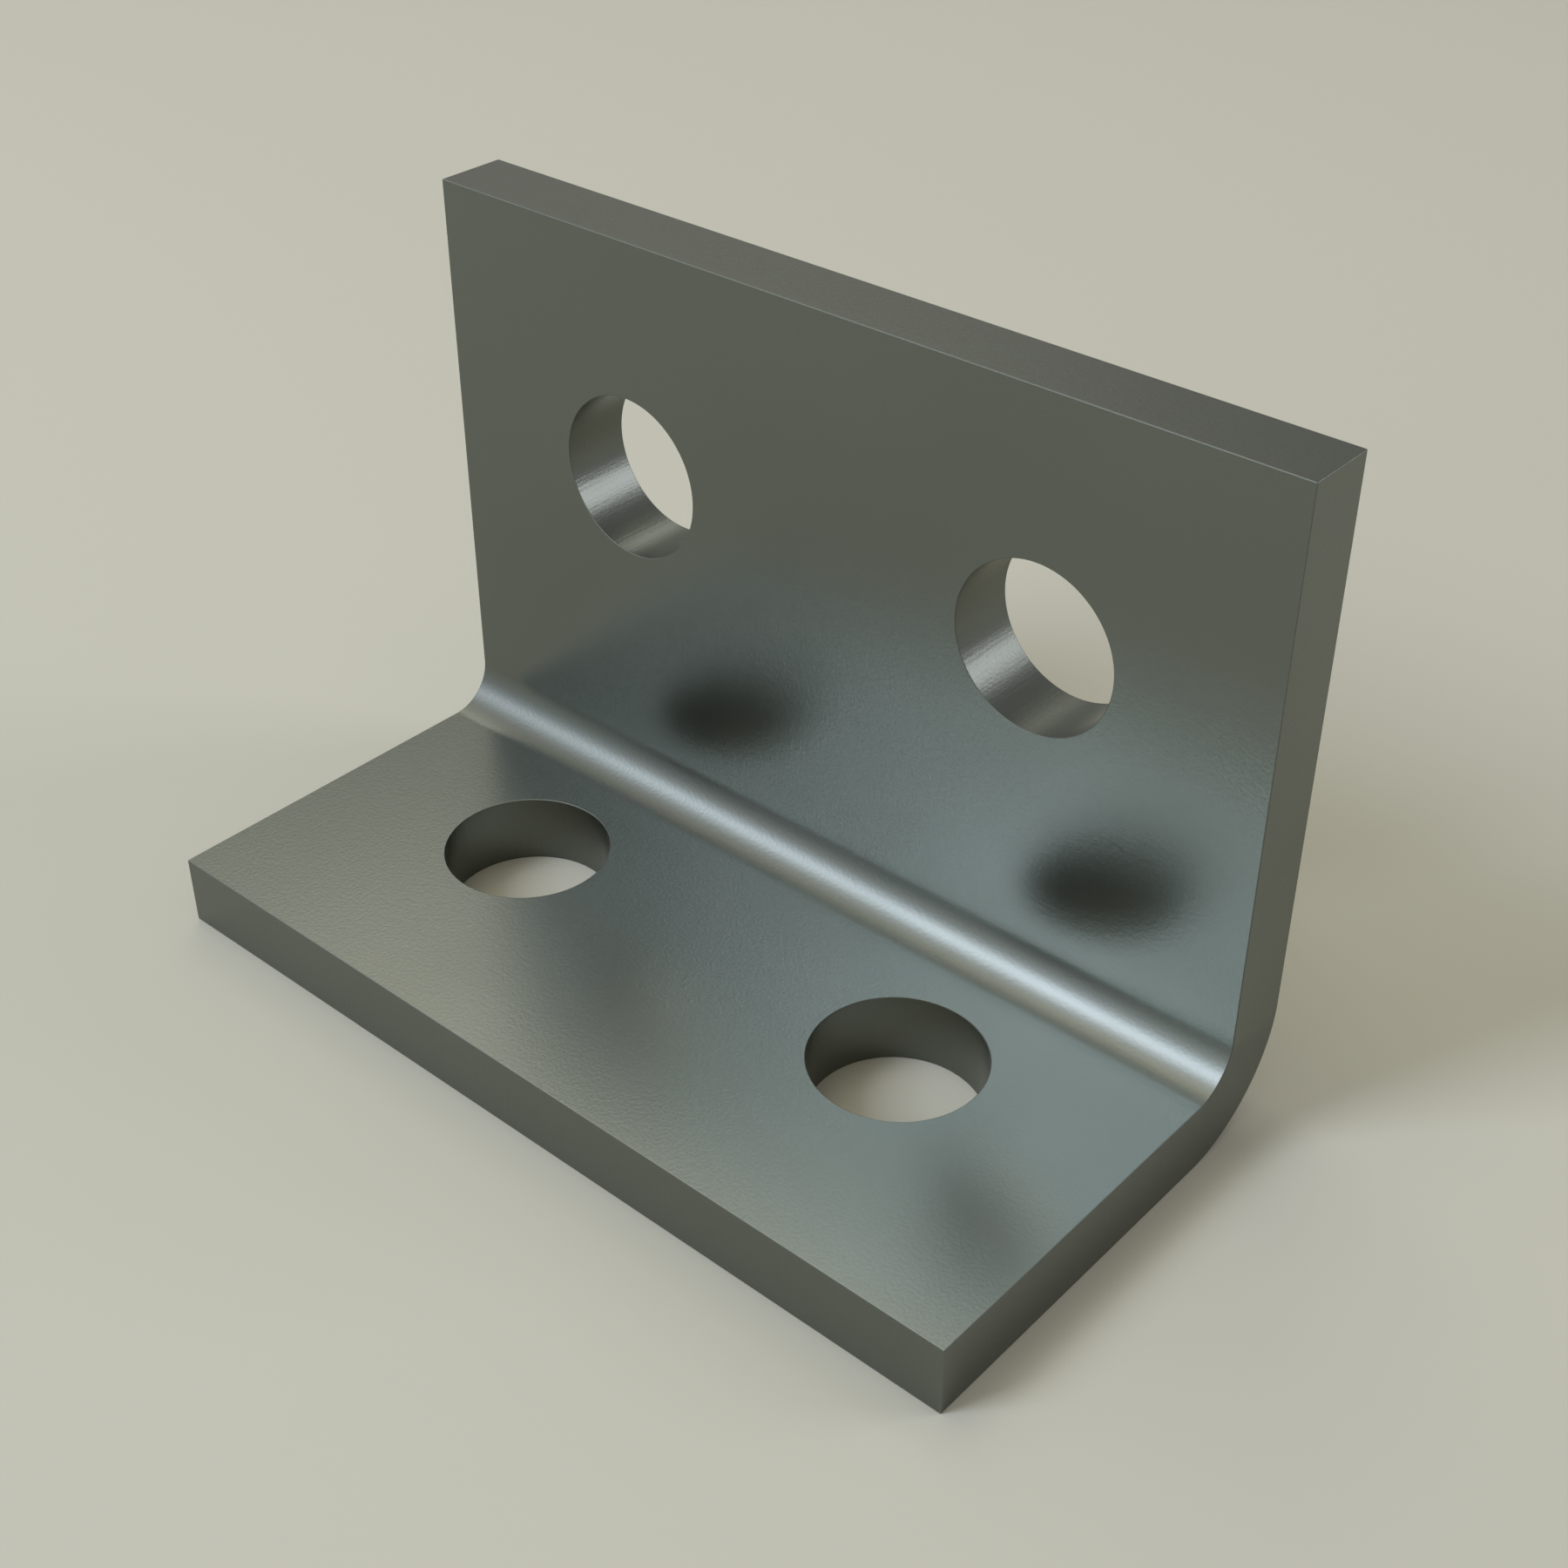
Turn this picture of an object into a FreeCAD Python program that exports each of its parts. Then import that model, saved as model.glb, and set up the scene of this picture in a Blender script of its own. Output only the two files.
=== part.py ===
import FreeCAD, Part
import Sketcher

import os

# Strut angle fitting: one strip of quarter-inch steel plate with two bolt holes punched
# in each leg, folded square along its length.
#
# The foot lies flat and the longer leg, the upright, stands along its rear edge. The
# origin is on the underside of the foot, midway between its two bolt holes. +X runs
# along the fold, +Y points towards the upright and +Z points up it. All sizes are in
# millimetres, and most are whole fractions of an inch, as the real fitting's are.

NODE = "angle_plate"
SHEET = "Sizes"

SIZES = {
    "fold_length": (82.55, "length of the plate along the fold"),
    "foot_length": (41.275, "foot, from its free edge to the back of the upright"),
    "upright_height": (57.15, "upright, from the underside of the foot to its free edge"),
    "plate_thickness": (6.35, "thickness of the steel plate"),
    "inside_bend_radius": (3.96875, "radius of the fold on its hollow side"),
    "bolt_hole_diameter": (14.2875, "clearance hole for a half-inch bolt"),
    "hole_spacing": (41.275, "centre to centre of the two holes in a leg"),
    "foot_hole_setback": (20.6375, "foot hole centres, from the foot's free edge"),
    "upright_hole_setback": (20.6375, "upright hole centres, from the upright's free edge"),
    "edge_break": (0.15, "chamfer that deburring leaves on every sheared and punched edge"),
}

# The holes of a leg are spread evenly about its middle, so the first one stands this
# many hole spacings from it.
HOLES_PER_LEG = 2
FIRST_HOLE_SPACINGS = (HOLES_PER_LEG - 1) / 2

# Element and point numbers that a sketch's constraints use.
HORIZONTAL_AXIS = -1
START = 1
END = 2
CENTRE = 3

COS_45 = 0.5 ** 0.5


def size(alias):
    """Return a driving dimension's value in millimetres."""
    return SIZES[alias][0]


def make_sheet(doc):
    """Write the driving dimensions into the document's spreadsheet, one row each."""
    sheet = doc.addObject("Spreadsheet::Sheet", SHEET)
    for row, (alias, (value, meaning)) in enumerate(SIZES.items(), start=1):
        sheet.set(f"A{row}", alias)
        sheet.set(f"B{row}", str(value))
        sheet.set(f"C{row}", meaning)
        sheet.setAlias(f"B{row}", alias)
    doc.recompute()


def origin_feature(body, role):
    """Return the plane or axis of the body's own origin that has the given role."""
    return next(item for item in body.Origin.OriginFeatures if item.Role == role)


def new_sketch(body, name, plane_role):
    """Make an empty sketch that lies in one of the body's origin planes."""
    sketch = body.newObject("Sketcher::SketchObject", name)
    sketch.AttachmentSupport = [(origin_feature(body, plane_role), "")]
    sketch.MapMode = "FlatFace"
    return sketch


def dimension(sketch, name, expression, kind, *elements):
    """Add a named dimension to a sketch and bind it to the spreadsheet.

    Args:
        sketch: sketch that gets the dimension.
        name: name of the dimension.
        expression: its value in terms of the spreadsheet.
        kind: type of the constraint, such as DistanceX or Radius.
        elements: what it measures, followed by the value that the sketch is drawn with.
    """
    index = sketch.addConstraint(Sketcher.Constraint(kind, *elements))
    sketch.renameConstraint(index, name)
    sketch.setExpression(f"Constraints.{name}", expression)


def draw_section(sketch):
    """Draw the folded plate's end view: two legs joined by a bend of even thickness.

    The sketch's horizontal direction is +Y and its vertical direction is +Z. The
    outline runs once round the section from the foot's lower front corner.
    """
    front = -size("foot_hole_setback")
    back = front + size("foot_length")
    top = size("upright_height")
    plate = size("plate_thickness")
    inner = size("inside_bend_radius")
    outer = inner + plate
    bend_centre = (back - outer, outer)

    def line(start, end):
        """Add one flat side of the section."""
        segment = Part.LineSegment(FreeCAD.Vector(*start, 0), FreeCAD.Vector(*end, 0))
        return sketch.addGeometry(segment)

    def quarter_bend(radius):
        """Add the arc that turns the foot into the upright at a radius from the bend's centre."""
        turns = ((0, -1), (COS_45, -COS_45), (1, 0))
        y, z = bend_centre
        points = [FreeCAD.Vector(y + radius * dy, z + radius * dz, 0) for dy, dz in turns]
        return sketch.addGeometry(Part.Arc(*points))

    underside = line((front, 0), (back - outer, 0))
    outside_bend = quarter_bend(outer)
    upright_back = line((back, outer), (back, top))
    top_edge = line((back, top), (back - plate, top))
    upright_front = line((back - plate, top), (back - plate, outer))
    inside_bend = quarter_bend(inner)
    foot_top = line((back - outer, plate), (front, plate))
    front_edge = line((front, plate), (front, 0))

    # Each bend's arc starts at the foot and ends at the upright, smooth at both ends.
    for side, end, bend, bend_end in (
        (underside, END, outside_bend, START),
        (upright_back, START, outside_bend, END),
        (upright_front, END, inside_bend, END),
        (foot_top, START, inside_bend, START),
    ):
        sketch.addConstraint(Sketcher.Constraint("Tangent", side, end, bend, bend_end))
    for side, following in (
        (upright_back, top_edge),
        (top_edge, upright_front),
        (foot_top, front_edge),
        (front_edge, underside),
    ):
        sketch.addConstraint(Sketcher.Constraint("Coincident", side, END, following, START))
    for side in (underside, top_edge, foot_top):
        sketch.addConstraint(Sketcher.Constraint("Horizontal", side))
    for side in (upright_back, upright_front, front_edge):
        sketch.addConstraint(Sketcher.Constraint("Vertical", side))

    # Both arcs turn about one centre, so the plate is equally thick all round the bend.
    concentric = Sketcher.Constraint("Coincident", inside_bend, CENTRE, outside_bend, CENTRE)
    sketch.addConstraint(concentric)
    on_ground = Sketcher.Constraint("PointOnObject", underside, START, HORIZONTAL_AXIS)
    sketch.addConstraint(on_ground)

    corner = (underside, START)
    origin = (HORIZONTAL_AXIS, START)
    for name, kind, *elements in (
        ("foot_hole_setback", "DistanceX", *corner, *origin, -front),
        ("foot_length", "DistanceX", *corner, upright_back, END, back - front),
        ("upright_height", "DistanceY", *corner, upright_back, END, top),
        ("plate_thickness", "DistanceY", *corner, foot_top, END, plate),
        ("inside_bend_radius", "Radius", inside_bend, inner),
    ):
        dimension(sketch, name, f"{SHEET}.{name}", kind, *elements)


def draw_first_hole(sketch):
    """Draw the leg's hole nearest the plate's -X end, centred on the sketch's X axis."""
    diameter = size("bolt_hole_diameter")
    offset = size("hole_spacing") * FIRST_HOLE_SPACINGS
    centre = FreeCAD.Vector(-offset, 0, 0)
    circle = sketch.addGeometry(Part.Circle(centre, FreeCAD.Vector(0, 0, 1), diameter / 2))
    on_row = Sketcher.Constraint("PointOnObject", circle, CENTRE, HORIZONTAL_AXIS)
    sketch.addConstraint(on_row)

    dimension(
        sketch, "diameter", f"{SHEET}.bolt_hole_diameter", "Diameter", circle, diameter
    )
    dimension(
        sketch,
        "offset_from_middle",
        f"{SHEET}.hole_spacing * {FIRST_HOLE_SPACINGS}",
        "DistanceX",
        *(circle, CENTRE, HORIZONTAL_AXIS, START, offset),
    )


def punch_holes(body, leg, plane_role, offsets):
    """Punch one leg's row of bolt holes, drilled from the plate's outer face inwards.

    Args:
        body: the plate, already folded.
        leg: name of the leg, which starts the names of its features.
        plane_role: origin plane that is parallel to the leg, with its normal pointing
            from the leg's outer face into the plate.
        offsets: where the row's middle lies from the origin, as expressions for the
            sketch's own vertical direction, y, and its normal, z.

    Returns:
        The pattern that holds the whole row.
    """
    doc = body.Document
    unpunched_volume = body.Shape.Volume
    sketch = new_sketch(body, f"{leg}_hole_centre", plane_role)
    for direction, expression in offsets.items():
        sketch.setExpression(f"AttachmentOffset.Base.{direction}", expression)
    draw_first_hole(sketch)
    doc.recompute()

    hole = body.newObject("PartDesign::Hole", f"{leg}_hole")
    hole.Profile = sketch
    doc.recompute()
    hole.ThreadType = "None"
    hole.DepthType = "ThroughAll"
    hole.DrillPoint = "Flat"
    hole.Reversed = True
    hole.setExpression("Diameter", f"{SHEET}.bolt_hole_diameter")

    row = body.newObject("PartDesign::LinearPattern", f"{leg}_hole_row")
    row.Originals = [hole]
    row.Direction = (origin_feature(body, "X_Axis"), [""])
    row.Mode = "Spacing"
    row.setExpression("Offset", f"{SHEET}.hole_spacing")
    row.Occurrences = HOLES_PER_LEG
    body.Tip = row
    doc.recompute()
    if body.Shape.Volume >= unpunched_volume:
        raise RuntimeError(f"the {leg}'s holes cut nothing")
    return row


def break_edges(body, last_feature):
    """Chamfer every sharp edge of the plate, but not where a flat runs into the bend."""
    chamfer = body.newObject("PartDesign::Chamfer", "broken_edges")
    chamfer.Base = (last_feature, [""])
    chamfer.UseAllEdges = True
    chamfer.setExpression("Size", f"{SHEET}.edge_break")
    body.Tip = chamfer
    body.Document.recompute()


def make_angle_plate(doc):
    """Model the folded and punched plate as one body."""
    body = doc.addObject("PartDesign::Body", NODE)
    body.Label = NODE
    body.Placement = FreeCAD.Placement()

    section = new_sketch(body, "section", "YZ_Plane")
    draw_section(section)
    doc.recompute()
    plate = body.newObject("PartDesign::Pad", "folded_plate")
    plate.Profile = section
    plate.SideType = "Symmetric"
    plate.setExpression("Length", f"{SHEET}.fold_length")
    doc.recompute()

    punch_holes(body, "foot", "XY_Plane", {})
    upright_offsets = {
        "y": f"{SHEET}.upright_height - {SHEET}.upright_hole_setback",
        "z": f"{SHEET}.foot_hole_setback - {SHEET}.foot_length",
    }
    last_feature = punch_holes(body, "upright", "XZ_Plane", upright_offsets)
    break_edges(body, last_feature)
    return body


def check_document(doc, bodies):
    """Stop if any object failed to compute or any body isn't one valid solid."""
    for item in doc.Objects:
        if {"Invalid", "Error"} & set(item.State):
            raise RuntimeError(f"{item.Name} failed: {item.State}")
    for body in bodies:
        shape = body.Shape
        if shape.isNull() or not shape.isValid() or len(shape.Solids) != 1:
            raise RuntimeError(f"{body.Label} is not one valid solid")


def write_steps(bodies, folder="parts"):
    """Write each body to a STEP file named after its label, and print its size."""
    os.makedirs(folder, exist_ok=True)
    for body in bodies:
        body.Shape.exportStep(os.path.join(folder, f"{body.Label}.step"))
        box = body.Shape.optimalBoundingBox()
        extents = [round(length, 4) for length in (box.XLength, box.YLength, box.ZLength)]
        print(body.Label, "measures", extents, "mm and", round(body.Shape.Volume), "mm3")


def main():
    """Build the fitting and write its one piece."""
    doc = FreeCAD.newDocument("strut_angle_fitting")
    make_sheet(doc)
    bodies = [make_angle_plate(doc)]
    check_document(doc, bodies)
    write_steps(bodies)


main()
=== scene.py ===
"""Dresses the strut angle fitting: one folded and punched plate of satin steel.

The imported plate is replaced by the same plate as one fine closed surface, so that its
bend and its holes are smooth and its cut edges have their own finish. It stands on a pale
studio floor under soft lamps, seen from where the photograph was taken.
"""

import logging
import math
from collections.abc import Iterable
from dataclasses import dataclass
from enum import Enum

import bpy
import numpy as np
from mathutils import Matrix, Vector

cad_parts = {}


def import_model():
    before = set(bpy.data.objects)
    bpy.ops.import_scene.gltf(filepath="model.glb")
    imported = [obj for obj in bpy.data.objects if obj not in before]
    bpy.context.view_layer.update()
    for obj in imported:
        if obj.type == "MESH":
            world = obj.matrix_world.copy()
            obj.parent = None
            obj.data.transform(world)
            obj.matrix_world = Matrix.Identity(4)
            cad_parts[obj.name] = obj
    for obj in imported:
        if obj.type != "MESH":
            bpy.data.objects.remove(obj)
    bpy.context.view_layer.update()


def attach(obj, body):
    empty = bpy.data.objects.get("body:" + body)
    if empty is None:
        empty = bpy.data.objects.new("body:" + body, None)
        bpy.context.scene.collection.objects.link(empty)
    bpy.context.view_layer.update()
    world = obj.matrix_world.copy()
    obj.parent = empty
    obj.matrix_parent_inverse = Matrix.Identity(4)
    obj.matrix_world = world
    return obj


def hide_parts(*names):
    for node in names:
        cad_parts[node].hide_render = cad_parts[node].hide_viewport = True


LOG = logging.getLogger("strut_angle")

MM = 0.001
QUARTER_TURN = math.pi / 2

# The sRGB curve is a straight line up to a low level, and a power curve above it.
FULL_LEVEL = 255
LINE_END = 0.04045
LINE_SLOPE = 12.92
CURVE_OFFSET = 0.055
CURVE_POWER = 2.4

# A Mix node keeps its two colour inputs and its colour output at these places.
MIX_FIRST = 6
MIX_SECOND = 7
MIX_RESULT = 2

# Points are welded where they lie in one cell of a grid. The grid is shifted by a share of
# a cell, so that points that meet at nought don't lie on both sides of a border.
WELD_CELL_MM = 0.0007
WELD_SHIFT = 0.37


def linear_colour(code: str) -> tuple[float, float, float, float]:
    """Turn an sRGB colour into the linear one that shaders and lamps take.

    A low level is divided by the line's slope. A higher one has the curve's offset added,
    is divided by one plus the offset, and is raised to the curve's power.

    Args:
        code: the colour as six hex digits after a hash sign.

    Returns:
        Linear red, green and blue, and an alpha of one.
    """
    levels = [value / FULL_LEVEL for value in bytes.fromhex(code[1:])]
    linear = [
        level / LINE_SLOPE
        if level <= LINE_END
        else ((level + CURVE_OFFSET) / (1 + CURVE_OFFSET)) ** CURVE_POWER
        for level in levels
    ]
    return (*linear, 1.0)


def add_node(
    tree: bpy.types.NodeTree,
    kind: str,
    settings: dict[str, object] | None = None,
    inputs: dict[str | int, object] | None = None,
) -> bpy.types.Node:
    """Add a node to a tree.

    Args:
        tree: the node tree that gets it.
        kind: the node's type, without the words ShaderNode in front.
        settings: values for the node's own properties.
        inputs: what each input takes: a value, or another node's output to link.

    Returns:
        The new node.
    """
    node = tree.nodes.new(f"ShaderNode{kind}")
    for name, value in (settings or {}).items():
        setattr(node, name, value)
    for name, value in (inputs or {}).items():
        if isinstance(value, bpy.types.NodeSocket):
            tree.links.new(value, node.inputs[name])
        else:
            node.inputs[name].default_value = value
    return node


def direction(azimuth: float, elevation: float) -> Vector:
    """Give the direction in which a lamp or a camera stands.

    It is (sin a cos e, -cos a cos e, sin e) for an azimuth a and an elevation e.

    Args:
        azimuth: degrees round from the front, towards the fitting's right.
        elevation: degrees above the floor.

    Returns:
        A vector of length one, from the fitting outwards.
    """
    round_angle = math.radians(azimuth)
    rise = math.radians(elevation)
    return Vector(
        (
            math.sin(round_angle) * math.cos(rise),
            -math.cos(round_angle) * math.cos(rise),
            math.sin(rise),
        )
    )


class Leg(Enum):
    """The two flat legs of the angle."""

    FOOT = "foot"
    UPRIGHT = "upright"


class Face(Enum):
    """The two rolled faces of the plate, by the direction of w in which each one faces."""

    HOLLOW = 1
    OUTER = -1


@dataclass(frozen=True)
class Patch:
    """A grid of surface points on the flat blank, before it is folded.

    The blank's own directions are x along the fold, s from the foot's free edge to the
    upright's along the middle of the plate, and w through the plate from its outer face.

    Attributes:
        place: array of rows by columns by 3, the points' x, s and w in millimetres.
        facing: array of the same shape, the way that the surface faces at each point.
        chart: array of rows by columns by 2, the surface's own coordinates in millimetres.
    """

    place: np.ndarray
    facing: np.ndarray
    chart: np.ndarray

    def faces(self, first: int) -> np.ndarray:
        """Number the corners of the grid's faces.

        Args:
            first: number of the grid's first point. The others follow row by row.

        Returns:
            Array of faces by 4.
        """
        rows, columns = self.place.shape[:2]
        number = first + np.arange(rows * columns).reshape(rows, columns)
        corners = [number[:-1, :-1], number[:-1, 1:], number[1:, 1:], number[1:, :-1]]
        return np.stack(corners, axis=-1).reshape(-1, 4)


@dataclass(frozen=True)
class Skin:
    """The fitting's whole surface, folded, with each patch's points still its own.

    Attributes:
        corners: array of faces by 4, the numbers of each face's points.
        places: array of points by 3, in millimetres.
        normals: array of points by 3, the way that the surface faces.
        charts: array of points by 2, the surface's own coordinates in millimetres.
        shares: attributes that the finish reads, one number a point in each.
    """

    corners: np.ndarray
    places: np.ndarray
    normals: np.ndarray
    charts: np.ndarray
    shares: dict[str, np.ndarray]

    def weld(self, name: str) -> bpy.types.Object:
        """Join the patches' points where they meet and make the mesh, in metres.

        Args:
            name: name of the mesh and of its object.

        Returns:
            The object.
        """
        cells = np.floor(self.places / WELD_CELL_MM + WELD_SHIFT).astype(np.int64)
        _, first, shared = np.unique(
            cells, axis=0, return_index=True, return_inverse=True
        )
        welded = shared.reshape(-1)[self.corners]

        # A face whose points run clockwise seen from outside is turned over.
        square = self.places[self.corners]
        across = np.cross(square[:, 2] - square[:, 0], square[:, 3] - square[:, 1])
        inside_out = (across * self.normals[self.corners].sum(axis=1)).sum(axis=1) < 0
        welded[inside_out] = welded[inside_out, ::-1]
        own = self.corners.copy()
        own[inside_out] = own[inside_out, ::-1]

        # Faces at a rounded corner's tip have two points in one, and become triangles.
        kept = welded != np.roll(welded, -1, axis=1)
        whole = kept.sum(axis=1) >= 3
        kept = kept[whole]
        loops = welded[whole][kept]
        totals = kept.sum(axis=1)
        starts = np.concatenate([[0], np.cumsum(totals)[:-1]])

        mesh = bpy.data.meshes.new(name)
        mesh.vertices.add(len(first))
        mesh.vertices.foreach_set("co", (self.places[first] * MM).astype(np.float32).ravel())
        mesh.loops.add(len(loops))
        mesh.loops.foreach_set("vertex_index", loops.astype(np.int32))
        mesh.polygons.add(len(totals))
        mesh.polygons.foreach_set("loop_start", starts.astype(np.int32))
        mesh.polygons.foreach_set("loop_total", totals.astype(np.int32))
        mesh.update(calc_edges=True)
        mesh.validate()
        chart = mesh.uv_layers.new(name="blank")
        spread = self.charts[own[whole][kept]].astype(np.float32)
        chart.data.foreach_set("uv", spread.ravel())
        for attribute_name, values in self.shares.items():
            attribute = mesh.attributes.new(attribute_name, "FLOAT", "POINT")
            attribute.data.foreach_set("value", values[first].astype(np.float32))
        mesh.shade_smooth()
        mesh.normals_split_custom_set_from_vertices(self.normals[first].tolist())
        plate = bpy.data.objects.new(name, mesh)
        bpy.context.scene.collection.objects.link(plate)
        return plate


@dataclass(frozen=True)
class SatinSteel:
    """Hot-rolled mild steel, cleaned of its scale and left bare: a dull satin.

    It shows the eye broad, soft reflections with no grain direction, a very fine speckle
    where they are bright, and slow changes of gloss where the plate was handled.
    """

    bare: str = "#767A75"
    handled: str = "#717670"
    roughness: float = 0.29
    # Handling turns the gloss a little up or down in patches of this size.
    gloss_change: float = 0.012
    handling_mm: float = 18.0
    handling_detail: float = 3.0
    # Most of a noise's values lie between these two.
    noise_low: float = 0.3
    noise_high: float = 0.7
    # Grit marks are a few hundredths of a millimetre wide. They are drawn ten times as
    # coarse here, the finest that shows in a picture of the whole fitting.
    grit_mm: float = 0.30
    grit_depth_mm: float = 0.011
    grit_detail: float = 2.0
    # A punch and a shear drag fine lines through the plate's thickness as they cut it.
    drag_mm: float = 0.25
    drag_length_mm: float = 6.0
    drag_depth_mm: float = 0.01
    drag_detail: float = 2.0
    cut_roughness: float = 0.05
    # The file that takes off the burr leaves the edges duller than either face.
    filed_roughness: float = 0.5
    # Steel that is folded cold loses some of its gloss, because its grains turn.
    bend_roughness: float = 0.15

    def colour(
        self, tree: bpy.types.NodeTree, handling: bpy.types.NodeSocket
    ) -> bpy.types.NodeSocket:
        """Mix the bare steel's colour with that of handled steel.

        Args:
            tree: the material's nodes.
            handling: how much the steel was handled.

        Returns:
            The colour.
        """
        mixed = {
            "Factor": handling,
            MIX_FIRST: linear_colour(self.bare),
            MIX_SECOND: linear_colour(self.handled),
        }
        return add_node(tree, "Mix", {"data_type": "RGBA"}, mixed).outputs[MIX_RESULT]

    def dullness(
        self, tree: bpy.types.NodeTree, handling: bpy.types.NodeSocket
    ) -> bpy.types.NodeSocket:
        """Work out the roughness.

        It is that of the rolled face, a little more or less where the steel was handled.
        The cut walls, the filed edges and the bend each add their own roughness, times
        the share in which the steel was cut, filed or bent.

        Args:
            tree: the material's nodes.
            handling: how much the steel was handled.

        Returns:
            The roughness.
        """
        roughness = add_node(
            tree, "MapRange", None,
            {
                "Value": handling,
                "From Min": self.noise_low,
                "From Max": self.noise_high,
                "To Min": self.roughness - self.gloss_change,
                "To Max": self.roughness + self.gloss_change,
            },
        ).outputs["Result"]
        for name, added in (
            ("cut_edge", self.cut_roughness),
            ("filed_edge", self.filed_roughness),
            ("bent", self.bend_roughness),
        ):
            share = add_node(tree, "Attribute", {"attribute_name": name}).outputs["Fac"]
            roughness = add_node(
                tree, "Math", {"operation": "MULTIPLY_ADD"},
                {0: share, 1: added, 2: roughness},
            ).outputs[0]
        return roughness

    def relief(
        self,
        tree: bpy.types.NodeTree,
        body: bpy.types.NodeSocket,
        blank: bpy.types.NodeSocket,
    ) -> bpy.types.NodeSocket:
        """Raise grit marks all over, and drag lines where the steel was cut.

        Args:
            tree: the material's nodes.
            body: coordinates in the object, in metres.
            blank: coordinates along the surface, in millimetres.

        Returns:
            The way that the surface faces with its marks.
        """
        grit = add_node(
            tree, "TexNoise", None,
            {
                "Vector": body,
                "Scale": 1 / (self.grit_mm * MM),
                "Detail": self.grit_detail,
            },
        ).outputs["Fac"]
        stretched = add_node(
            tree, "Mapping", None,
            {
                "Vector": blank,
                "Scale": (1 / self.drag_mm, 1 / self.drag_length_mm, 1.0),
            },
        ).outputs["Vector"]
        drag = add_node(
            tree, "TexNoise", {"noise_dimensions": "2D"},
            {"Vector": stretched, "Scale": 1.0, "Detail": self.drag_detail},
        ).outputs["Fac"]
        cut = add_node(tree, "Attribute", {"attribute_name": "cut_edge"}).outputs["Fac"]
        drag_on_cuts = add_node(
            tree, "Math", {"operation": "MULTIPLY"}, {0: drag, 1: cut},
        ).outputs[0]
        grit_relief = add_node(
            tree, "Bump", None,
            {"Strength": 1.0, "Distance": self.grit_depth_mm * MM, "Height": grit},
        ).outputs["Normal"]
        return add_node(
            tree, "Bump", None,
            {
                "Strength": 1.0,
                "Distance": self.drag_depth_mm * MM,
                "Height": drag_on_cuts,
                "Normal": grit_relief,
            },
        ).outputs["Normal"]

    def material(self) -> bpy.types.Material:
        """Make the material.

        Returns:
            The material, with its colour, gloss and marks worked out by nodes.
        """
        material = bpy.data.materials.new("mild_steel_rolled_satin")
        material.use_nodes = True
        tree = material.node_tree
        tree.nodes.clear()
        coordinates = add_node(tree, "TexCoord")
        body = coordinates.outputs["Object"]
        handling = add_node(
            tree, "TexNoise", None,
            {
                "Vector": body,
                "Scale": 1 / (self.handling_mm * MM),
                "Detail": self.handling_detail,
            },
        ).outputs["Fac"]
        shader = add_node(
            tree, "BsdfPrincipled", None,
            {
                "Base Color": self.colour(tree, handling),
                "Metallic": 1.0,
                "Roughness": self.dullness(tree, handling),
                "Normal": self.relief(tree, body, coordinates.outputs["UV"]),
            },
        )
        add_node(tree, "OutputMaterial", None, {"Surface": shader.outputs["BSDF"]})
        return material


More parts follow.
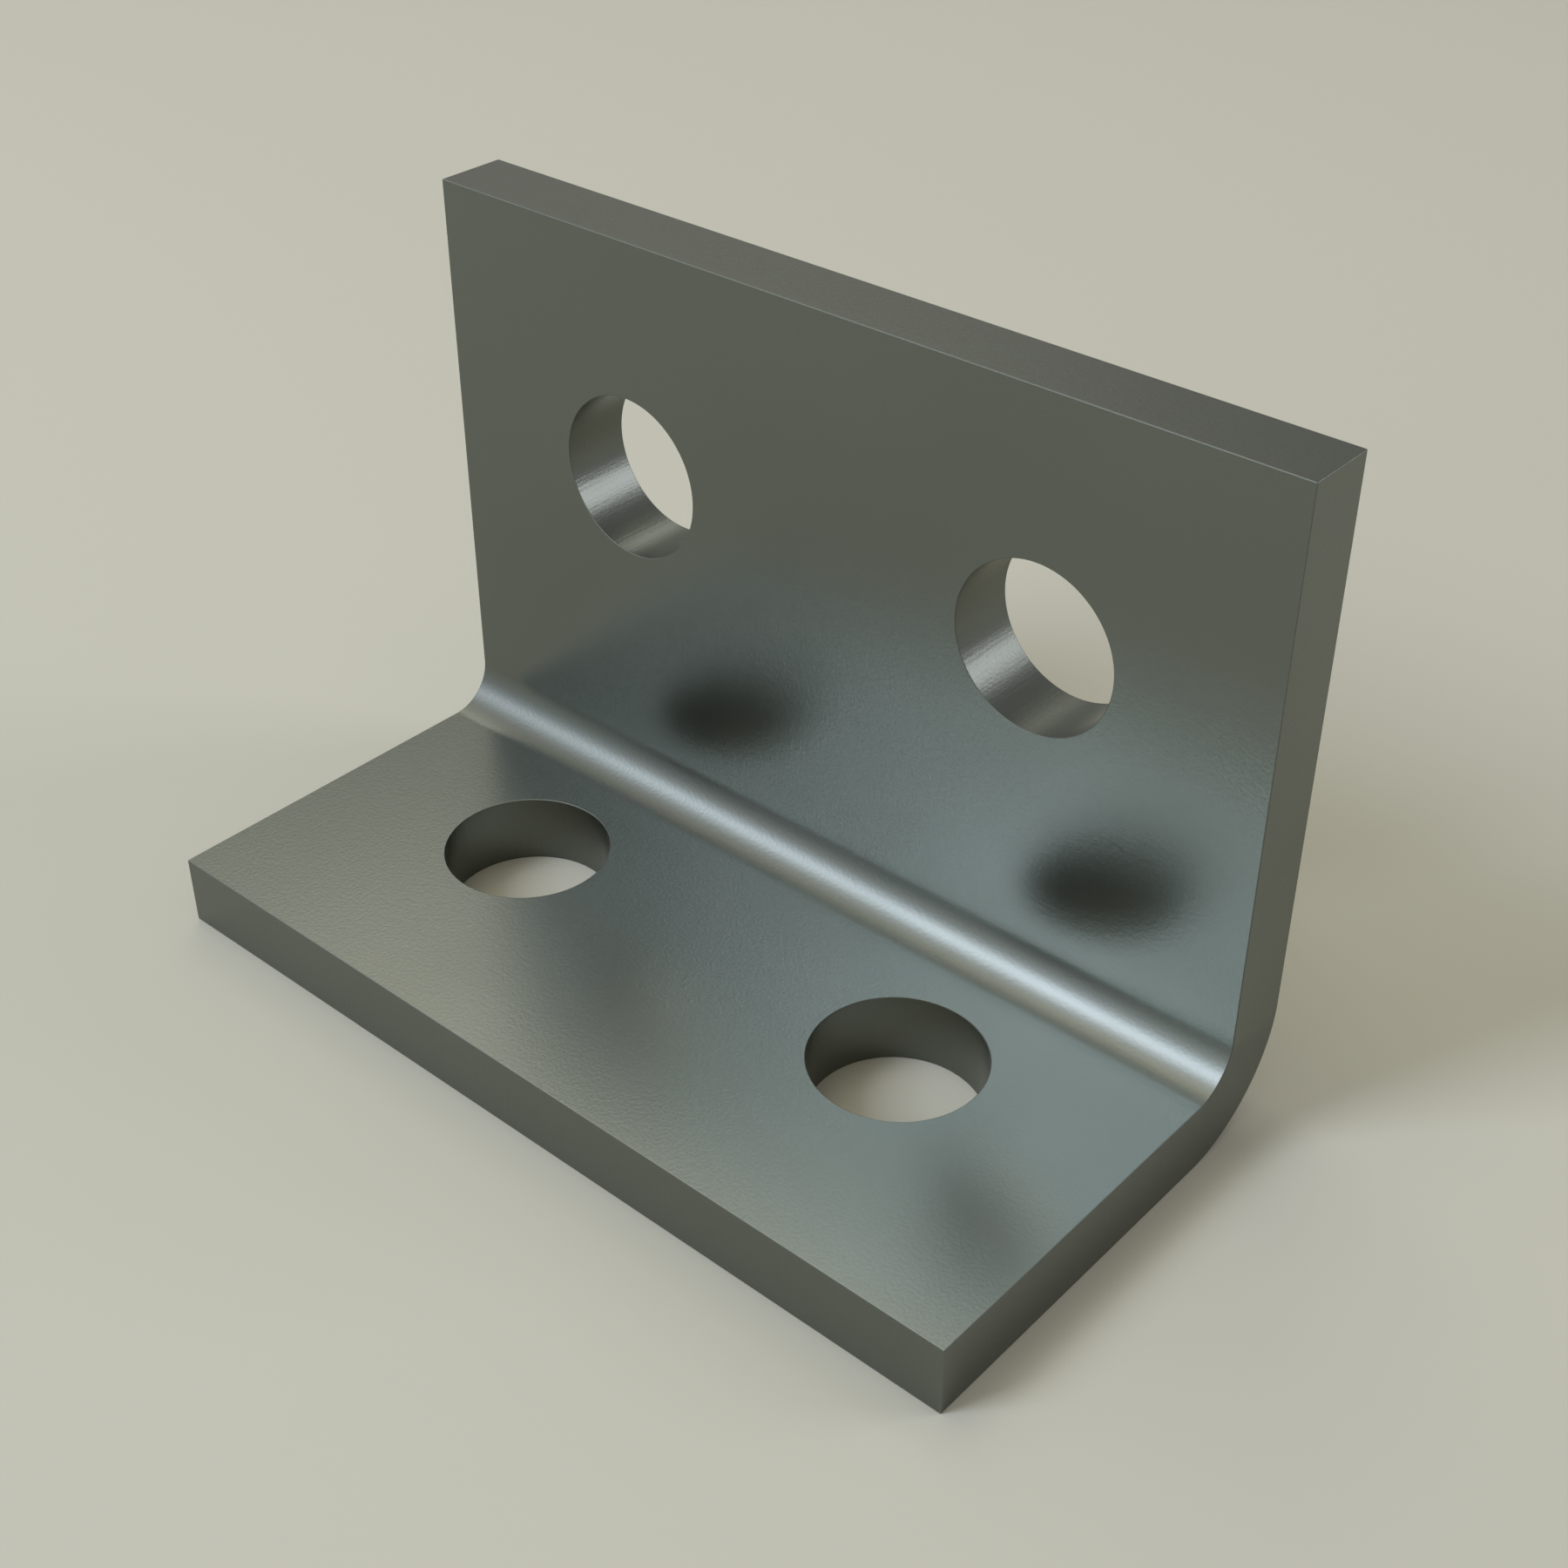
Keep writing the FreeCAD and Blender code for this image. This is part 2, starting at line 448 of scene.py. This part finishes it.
@dataclass
class FoldedPlate:
    """The whole fitting: a sheared and punched blank of steel plate, folded square.

    All sizes are in millimetres. The origin is on the underside of the foot, midway
    between its holes.
    """

    length: float = 82.55
    foot_length: float = 41.275
    upright_height: float = 57.15
    thickness: float = 6.35
    inside_radius: float = 3.96875
    hole_diameter: float = 14.2875
    hole_spacing: float = 41.275
    # The hole centres of both legs stand this far from the leg's free edge.
    setback: float = 20.6375
    # A file has taken the burr off every cut edge, and left it this round.
    edge_round: float = 0.08
    # The gloss changes over this length at each end of the bend.
    bend_run_in: float = 2.0

    # How finely the surface is drawn, as numbers of strips.
    side_strips: int = 48
    ring_strips: int = 8
    bend_strips: int = 48
    round_strips: int = 4
    wall_strips: int = 5

    @property
    def outside_radius(self) -> float:
        """Radius of the bend's outer face."""
        return self.inside_radius + self.thickness

    @property
    def foot_flat(self) -> float:
        """Length of the foot that stays flat."""
        return self.foot_length - self.outside_radius

    @property
    def bend_length(self) -> float:
        """Length of the bend along the middle of the plate."""
        return QUARTER_TURN * (self.inside_radius + self.thickness / 2)

    @property
    def upright_start(self) -> float:
        """Distance along the blank at which the upright's flat starts."""
        return self.foot_flat + self.bend_length

    @property
    def blank_length(self) -> float:
        """Length of the blank from the foot's free edge to the upright's."""
        return self.upright_start + self.upright_height - self.outside_radius

    def fold(
        self, place: np.ndarray, facing: np.ndarray
    ) -> tuple[np.ndarray, np.ndarray]:
        """Carry points of the flat blank round the bend.

        The plate turns by the angle (s - foot's flat) / middle radius, held between none
        and a quarter turn. A point then lies at the bend's centre, plus (outside radius
        - w) along the turned normal, plus what is left of s before or after the bend
        along the turned leg.

        Args:
            place: array whose last axis is x, s and w.
            facing: array of the same shape, directions along x, s and w.

        Returns:
            The places and directions along x, y and z.
        """
        x, s, w = np.moveaxis(place, -1, 0)
        past_foot = s - self.foot_flat
        turn = np.clip(past_foot / self.bend_length, 0, 1) * QUARTER_TURN
        straight = np.minimum(past_foot, 0) + np.maximum(past_foot - self.bend_length, 0)
        sine = np.sin(turn)
        cosine = np.cos(turn)
        depth = self.outside_radius - w
        centre_y = self.foot_flat - self.setback
        centre_z = self.outside_radius
        folded = np.stack(
            [
                x,
                centre_y + depth * sine + straight * cosine,
                centre_z - depth * cosine + straight * sine,
            ],
            axis=-1,
        )
        along_x, along_s, along_w = np.moveaxis(facing, -1, 0)
        turned = np.stack(
            [
                along_x,
                along_s * cosine - along_w * sine,
                along_s * sine + along_w * cosine,
            ],
            axis=-1,
        )
        return folded, turned

    def bent_share(self, place: np.ndarray) -> np.ndarray:
        """Tell how much the steel was worked by the fold.

        It is nought on the flats and one over the bend. Where the bend starts and ends
        it follows the smooth cubic 3t^2 - 2t^3 of the share t of the run-in passed.

        Args:
            place: array whose last axis is x, s and w.

        Returns:
            One number a point.
        """
        s = place[..., 1]
        nearer_end = np.minimum(s - self.foot_flat, self.upright_start - s)
        share = np.clip(nearer_end / self.bend_run_in, 0, 1)
        return share * share * (3 - 2 * share)

    def hole_centre(self, leg: Leg, side: int) -> np.ndarray:
        """Give a hole's centre on the blank.

        Args:
            leg: the leg that has the hole.
            side: -1 for the hole at the -X end and 1 for the other.

        Returns:
            The centre's x and s.
        """
        along = self.setback if leg is Leg.FOOT else self.blank_length - self.setback
        return np.array([side * self.hole_spacing / 2, along])

    def half_leg_loop(self, leg: Leg, side: int) -> np.ndarray:
        """Walk round half of a leg's flat, evenly spaced on each of its four sides.

        Args:
            leg: the leg.
            side: -1 for its half at the -X end and 1 for the other.

        Returns:
            Array of points by 2, the x and s of a closed anticlockwise loop.
        """
        inset = self.edge_round
        end = side * (self.length / 2 - inset)
        x = np.linspace(min(end, 0.0), max(end, 0.0), self.side_strips + 1)
        if leg is Leg.FOOT:
            low, high = inset, self.foot_flat
        else:
            low, high = self.upright_start, self.blank_length - inset
        s = np.linspace(low, high, self.side_strips + 1)
        sides = (
            (x, np.full_like(x, low)),
            (np.full_like(s, x[-1]), s),
            (x[::-1], np.full_like(x, high)),
            (np.full_like(s, x[0]), s[::-1]),
        )
        walked = [np.stack(points, axis=-1)[:-1] for points in sides]
        return np.concatenate([*walked, walked[0][:1]])

    def hole_loop(self, leg: Leg, side: int, radius: float) -> tuple[np.ndarray, np.ndarray]:
        """Walk round a circle about a hole, one point for each of its half leg's loop.

        The loop's corners give the angles of four points of the circle, and the points
        between them turn evenly.

        Args:
            leg: the leg that has the hole.
            side: -1 for the hole at the -X end and 1 for the other.
            radius: radius of the circle.

        Returns:
            Two arrays of points by 2: the points' x and s, and the directions from the
            hole's centre to them.
        """
        loop = self.half_leg_loop(leg, side)
        centre = self.hole_centre(leg, side)
        corners = np.arange(0, len(loop), self.side_strips)
        reach = loop[corners] - centre
        corner_angles = np.unwrap(np.arctan2(reach[:, 1], reach[:, 0]))
        angles = np.interp(np.arange(len(loop)), corners, corner_angles)
        outwards = np.stack([np.cos(angles), np.sin(angles)], axis=-1)
        return centre + radius * outwards, outwards

    def flat_patch(self, points: np.ndarray, face: Face) -> Patch:
        """Lay a grid of points on one rolled face of the blank.

        Args:
            points: array of rows by columns by 2, the points' x and s.
            face: the rolled face.

        Returns:
            The patch.
        """
        depth = self.thickness if face is Face.HOLLOW else 0.0
        across = np.full(points.shape[:-1] + (1,), depth)
        facing = np.zeros(points.shape[:-1] + (3,))
        facing[..., 2] = face.value
        return Patch(np.concatenate([points, across], axis=-1), facing, points)

    def leg_patch(self, leg: Leg, side: int, face: Face) -> Patch:
        """Cover half of a leg round its hole.

        Each point lies on a straight line from the hole's rim to the half leg's outline,
        at a share of it that runs from none to the whole.

        Args:
            leg: the leg.
            side: -1 for its half at the -X end and 1 for the other.
            face: the rolled face.

        Returns:
            The patch.
        """
        outline = self.half_leg_loop(leg, side)
        rim, _ = self.hole_loop(leg, side, self.hole_diameter / 2 + self.edge_round)
        share = np.linspace(0, 1, self.ring_strips + 1)[:, None, None]
        return self.flat_patch(rim + (outline - rim) * share, face)

    def bend_patch(self, side: int, face: Face) -> Patch:
        """Cover half of the bend, in strips along the fold.

        Args:
            side: -1 for its half at the -X end and 1 for the other.
            face: the rolled face.

        Returns:
            The patch.
        """
        x = self.half_leg_loop(Leg.FOOT, side)[:self.side_strips + 1, 0]
        s = np.linspace(self.foot_flat, self.upright_start, self.bend_strips + 1)
        columns, rows = np.meshgrid(x, s)
        return self.flat_patch(np.stack([columns, rows], axis=-1), face)

    def cut_patch(self, path: np.ndarray, outwards: np.ndarray) -> Patch:
        """Carry the section of a cut edge along a path on the blank.

        The section turns by an angle from facing +w to facing -w. It stands out from the
        path by the edge's radius times the angle's sine, and its height is that of the
        nearer round's centre plus the radius times the angle's cosine.

        Args:
            path: array of points by 2, the x and s of where the rolled faces end.
            outwards: array of the same shape, the way out of the steel at each point.

        Returns:
            The patch, from the hollow face to the outer one.
        """
        inset = self.edge_round
        first = np.linspace(0, QUARTER_TURN, self.round_strips + 1)
        wall = np.full(self.wall_strips - 1, QUARTER_TURN)
        turn = np.concatenate([first, wall, first + QUARTER_TURN])
        high = np.full_like(first, self.thickness - inset)
        drop = np.linspace(self.thickness - inset, inset, self.wall_strips + 1)[1:-1]
        low = np.full_like(first, inset)
        centre = np.concatenate([high, drop, low])

        stand_out = inset * np.sin(turn)[:, None, None]
        depth = centre + inset * np.cos(turn)
        rows = np.ones((len(turn), 1, 1))
        columns = np.ones((len(path), 1))
        place = np.concatenate(
            [path * rows + outwards * stand_out, depth[:, None, None] * columns], axis=-1
        )
        facing = np.concatenate(
            [
                outwards * np.sin(turn)[:, None, None],
                np.cos(turn)[:, None, None] * columns,
            ],
            axis=-1,
        )
        middle = path + outwards * inset
        steps = np.linalg.norm(np.diff(middle, axis=0), axis=-1)
        travelled = np.concatenate([[0.0], np.cumsum(steps)])
        chart = np.stack(np.broadcast_arrays(travelled, depth[:, None]), axis=-1)
        return Patch(place, facing, chart)

    def outline_patch(self) -> Patch:
        """Cover the sheared edge that runs right round the blank.

        The path is a rectangle. At each corner it stands still while the way out turns
        by a quarter, which rounds the corner as much as the edges.

        Returns:
            The patch.
        """
        foot = self.half_leg_loop(Leg.FOOT, 1)
        upright = self.half_leg_loop(Leg.UPRIGHT, 1)
        count = self.side_strips
        half = foot[:count + 1, 0]
        x = np.concatenate([-half[:0:-1], half])
        bend = np.linspace(self.foot_flat, self.upright_start, self.bend_strips + 1)
        s = np.concatenate(
            [foot[count:2 * count, 1], bend[:-1], upright[count:2 * count + 1, 1]]
        )
        sides = (
            (x, np.full_like(x, s[0])),
            (np.full_like(s, x[-1]), s),
            (x[::-1], np.full_like(x, s[-1])),
            (np.full_like(s, x[0]), s[::-1]),
        )
        paths = []
        headings = []
        for number, points in enumerate(sides):
            along = np.stack(points, axis=-1)
            start = (number - 1) * QUARTER_TURN
            corner = np.linspace(start, start + QUARTER_TURN, self.round_strips + 1)
            paths += [along, np.repeat(along[-1:], self.round_strips - 1, axis=0)]
            headings += [np.full(len(along), start), corner[1:-1]]
        paths.append(paths[0][:1])
        headings.append(np.array([-QUARTER_TURN]))
        heading = np.concatenate(headings)
        outwards = np.stack([np.cos(heading), np.sin(heading)], axis=-1)
        return self.cut_patch(np.concatenate(paths), outwards)

    def hole_patch(self, leg: Leg, side: int) -> Patch:
        """Cover the punched wall of a hole.

        Args:
            leg: the leg that has the hole.
            side: -1 for the hole at the -X end and 1 for the other.

        Returns:
            The patch.
        """
        rim_radius = self.hole_diameter / 2 + self.edge_round
        path, from_centre = self.hole_loop(leg, side, rim_radius)
        return self.cut_patch(path, -from_centre)

    def patches(self) -> list[Patch]:
        """List every patch of the closed surface."""
        sides = (-1, 1)
        rolled = [
            patch
            for face in Face
            for side in sides
            for patch in (
                *(self.leg_patch(leg, side, face) for leg in Leg),
                self.bend_patch(side, face),
            )
        ]
        holes = [self.hole_patch(leg, side) for leg in Leg for side in sides]
        return [*rolled, self.outline_patch(), *holes]

    def shares(self, patch: Patch) -> dict[str, np.ndarray]:
        """Tell the finish what was done to the steel at each point.

        Where the surface faces through the plate by a share c, the steel was cut by one
        less c, and filed by 4c (1 - c), which is nought on a rolled face and on a cut
        wall and rises to one on the round between them.

        Args:
            patch: the patch.

        Returns:
            One number a point for each attribute that the material reads.
        """
        through = np.abs(patch.facing[..., 2])
        return {
            "cut_edge": 1 - through,
            "filed_edge": 4 * through * (1 - through),
            "bent": self.bent_share(patch.place),
        }

    def build(self) -> bpy.types.Object:
        """Fold every patch and join them into one closed mesh.

        Returns:
            The plate as a Blender object, in metres.
        """
        patches = self.patches()
        counts = [patch.place[..., 0].size for patch in patches]
        firsts = np.concatenate([[0], np.cumsum(counts)[:-1]])
        corners = [patch.faces(first) for patch, first in zip(patches, firsts)]
        folded = [self.fold(patch.place, patch.facing) for patch in patches]
        shares = [self.shares(patch) for patch in patches]
        skin = Skin(
            corners=np.concatenate(corners),
            places=np.concatenate([place.reshape(-1, 3) for place, _ in folded]),
            normals=np.concatenate([normal.reshape(-1, 3) for _, normal in folded]),
            charts=np.concatenate([patch.chart.reshape(-1, 2) for patch in patches]),
            shares={
                name: np.concatenate([share[name].ravel() for share in shares])
                for name in shares[0]
            },
        )
        return skin.weld("folded_plate")

    def dress(self, plate: bpy.types.Object, finish: SatinSteel) -> None:
        """Give the plate its finish, hang it on the root body, and hide the imported plate
        that it replaces.

        Args:
            plate: the plate.
            finish: the steel's finish.
        """
        plate.data.materials.append(finish.material())
        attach(plate, "root")
        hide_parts("angle_plate")


@dataclass(frozen=True)
class FloorPaint:
    """Matt emulsion on a smooth studio floor, which shows only as an even pale tone."""

    colour: str = "#B5B4A8"
    roughness: float = 0.9
    specular_level: float = 0.1

    def material(self) -> bpy.types.Material:
        """Make the material.

        Returns:
            The material.
        """
        material = bpy.data.materials.new("matt_emulsion_paint")
        material.use_nodes = True
        tree = material.node_tree
        tree.nodes.clear()
        shader = add_node(
            tree, "BsdfPrincipled", None,
            {
                "Base Color": linear_colour(self.colour),
                "Roughness": self.roughness,
                "Specular IOR Level": self.specular_level,
            },
        )
        add_node(tree, "OutputMaterial", None, {"Surface": shader.outputs["BSDF"]})
        return material


@dataclass(frozen=True)
class Softbox:
    """A soft rectangular lamp aimed at the fitting.

    Attributes:
        name: what the lamp does.
        azimuth: degrees round from the front, towards the fitting's right.
        elevation: degrees above the floor.
        distance: metres from the fitting.
        width: metres from side to side.
        height: metres from bottom to top.
        radiance: brightness of its face, where 1 is white.
        colour: tint of its light.
    """

    name: str
    azimuth: float
    elevation: float
    distance: float
    width: float
    height: float
    radiance: float
    colour: str

    def hang(self, target: Vector) -> bpy.types.Object:
        """Hang the lamp.

        The power of a flat lamp is its face's brightness times pi times its area.

        Args:
            target: the point that the lamp faces.

        Returns:
            The lamp.
        """
        lamp = bpy.data.lights.new(self.name, "AREA")
        lamp.shape = "RECTANGLE"
        lamp.size = self.width
        lamp.size_y = self.height
        lamp.energy = self.radiance * math.pi * self.width * self.height
        lamp.color = linear_colour(self.colour)[:3]
        way = direction(self.azimuth, self.elevation)
        hung = bpy.data.objects.new(self.name, lamp)
        hung.location = target + way * self.distance
        hung.rotation_euler = way.to_track_quat("Z", "Y").to_euler()
        bpy.context.scene.collection.objects.link(hung)
        return hung


@dataclass
class Studio:
    """A plain pale floor under soft lamps, with all sizes in metres."""

    floor_radius: float = 1.4
    floor_rings: int = 6
    floor_spokes: int = 96
    # The floor lies this far under the plate, so that the two faces don't share a plane.
    floor_gap: float = 0.02 * MM
    ambient: str = "#989793"
    ambient_strength: float = 1.0
    # The lamps face a point this high above the middle of the foot.
    aim_height: float = 0.02
    lamps: tuple[Softbox, ...] = (
        Softbox("key_softbox", -30.2, 43.1, 1.2, 0.39, 0.52, 15.94, "#E4ECFF"),
        Softbox("left_softbox", -127.8, 52.7, 1.2, 0.65, 0.73, 1.78, "#FFFBED"),
        Softbox("right_softbox", 133.9, 27.1, 1.2, 0.47, 0.62, 3.50, "#F7F7FF"),
        Softbox("top_softbox", -78.4, 74.0, 1.2, 0.53, 0.49, 2.87, "#FFF8DE"),
        Softbox("fill_softbox", 58.5, 75.7, 1.2, 0.70, 0.80, 0.87, "#FFF5DB"),
        Softbox("front_softbox", -10.4, 13.2, 1.2, 0.68, 0.65, 1.22, "#F1FCFF"),
    )

    def lay_floor(self, paint: FloorPaint) -> bpy.types.Object:
        """Lay the floor, a flat round sheet centred under the fitting.

        Its points stand at radius times the cosine and sine of an angle, on rings from
        the middle out, and the last angle meets the first.

        Args:
            paint: the floor's finish.

        Returns:
            The floor.
        """
        radius, angle = np.meshgrid(
            np.linspace(0, self.floor_radius, self.floor_rings + 1)[1:],
            np.linspace(0, 2 * math.pi, self.floor_spokes, endpoint=False),
            indexing="ij",
        )
        rings = np.stack(
            [
                radius * np.cos(angle),
                radius * np.sin(angle),
                np.full_like(radius, -self.floor_gap),
            ],
            axis=-1,
        )
        points = np.concatenate([rings.reshape(-1, 3), [[0.0, 0.0, -self.floor_gap]]])
        number = np.arange(radius.size).reshape(radius.shape)
        after = np.roll(number, -1, axis=1)
        quads = np.stack([number[:-1], number[1:], after[1:], after[:-1]], axis=-1)
        middle = np.full_like(number[0], radius.size)
        triangles = np.stack([middle, number[0], after[0]], axis=-1)
        mesh = bpy.data.meshes.new("studio_floor")
        faces = [*quads.reshape(-1, 4).tolist(), *triangles.tolist()]
        mesh.from_pydata(points.tolist(), [], faces)
        mesh.materials.append(paint.material())
        floor = bpy.data.objects.new("studio_floor", mesh)
        bpy.context.scene.collection.objects.link(floor)
        return floor

    def light(self) -> None:
        """Hang the lamps and give the room its even light."""
        target = Vector((0.0, 0.0, self.aim_height))
        for lamp in self.lamps:
            lamp.hang(target)
            LOG.info("lamp: %s", lamp.name)
        world = bpy.data.worlds.new("studio_room")
        world.use_nodes = True
        world.node_tree.nodes.clear()
        room = add_node(
            world.node_tree, "Background", None,
            {"Color": linear_colour(self.ambient), "Strength": self.ambient_strength},
        )
        add_node(
            world.node_tree, "OutputWorld", None, {"Surface": room.outputs["Background"]}
        )
        bpy.context.scene.world = world


@dataclass(frozen=True)
class PhotoCamera:
    """The camera that took the photograph, found from the fitting's edges in it."""

    place_mm: tuple[float, float, float] = (100.543, -104.296, 123.258)
    azimuth: float = 41.279
    elevation: float = 34.847
    lens_mm: float = 52.019
    sensor_mm: float = 36.0
    # It draws what lies between these two distances, in metres.
    nearest: float = 0.01
    farthest: float = 100.0

    def stand(self) -> bpy.types.Object:
        """Stand the camera up and make it the scene's own.

        Returns:
            The camera.
        """
        data = bpy.data.cameras.new("photo_camera")
        data.lens = self.lens_mm
        data.sensor_width = self.sensor_mm
        data.clip_start = self.nearest
        data.clip_end = self.farthest
        camera = bpy.data.objects.new("photo_camera", data)
        camera.location = Vector(self.place_mm) * MM
        back = direction(self.azimuth, self.elevation)
        camera.rotation_euler = back.to_track_quat("Z", "Y").to_euler()
        bpy.context.scene.collection.objects.link(camera)
        bpy.context.scene.camera = camera
        return camera


def main() -> None:
    """Load the frame, build and dress the fitting, and set up the studio."""
    logging.basicConfig(level=logging.INFO, format="%(message)s")
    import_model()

    fitting = FoldedPlate()
    plate = fitting.build()
    fitting.dress(plate, SatinSteel())
    LOG.info("piece: %s with %d faces", plate.name, len(plate.data.polygons))

    studio = Studio()
    studio.lay_floor(FloorPaint())
    studio.light()
    PhotoCamera().stand()
    bpy.context.scene.view_settings.view_transform = "Standard"


if __name__ == "__main__":
    main()
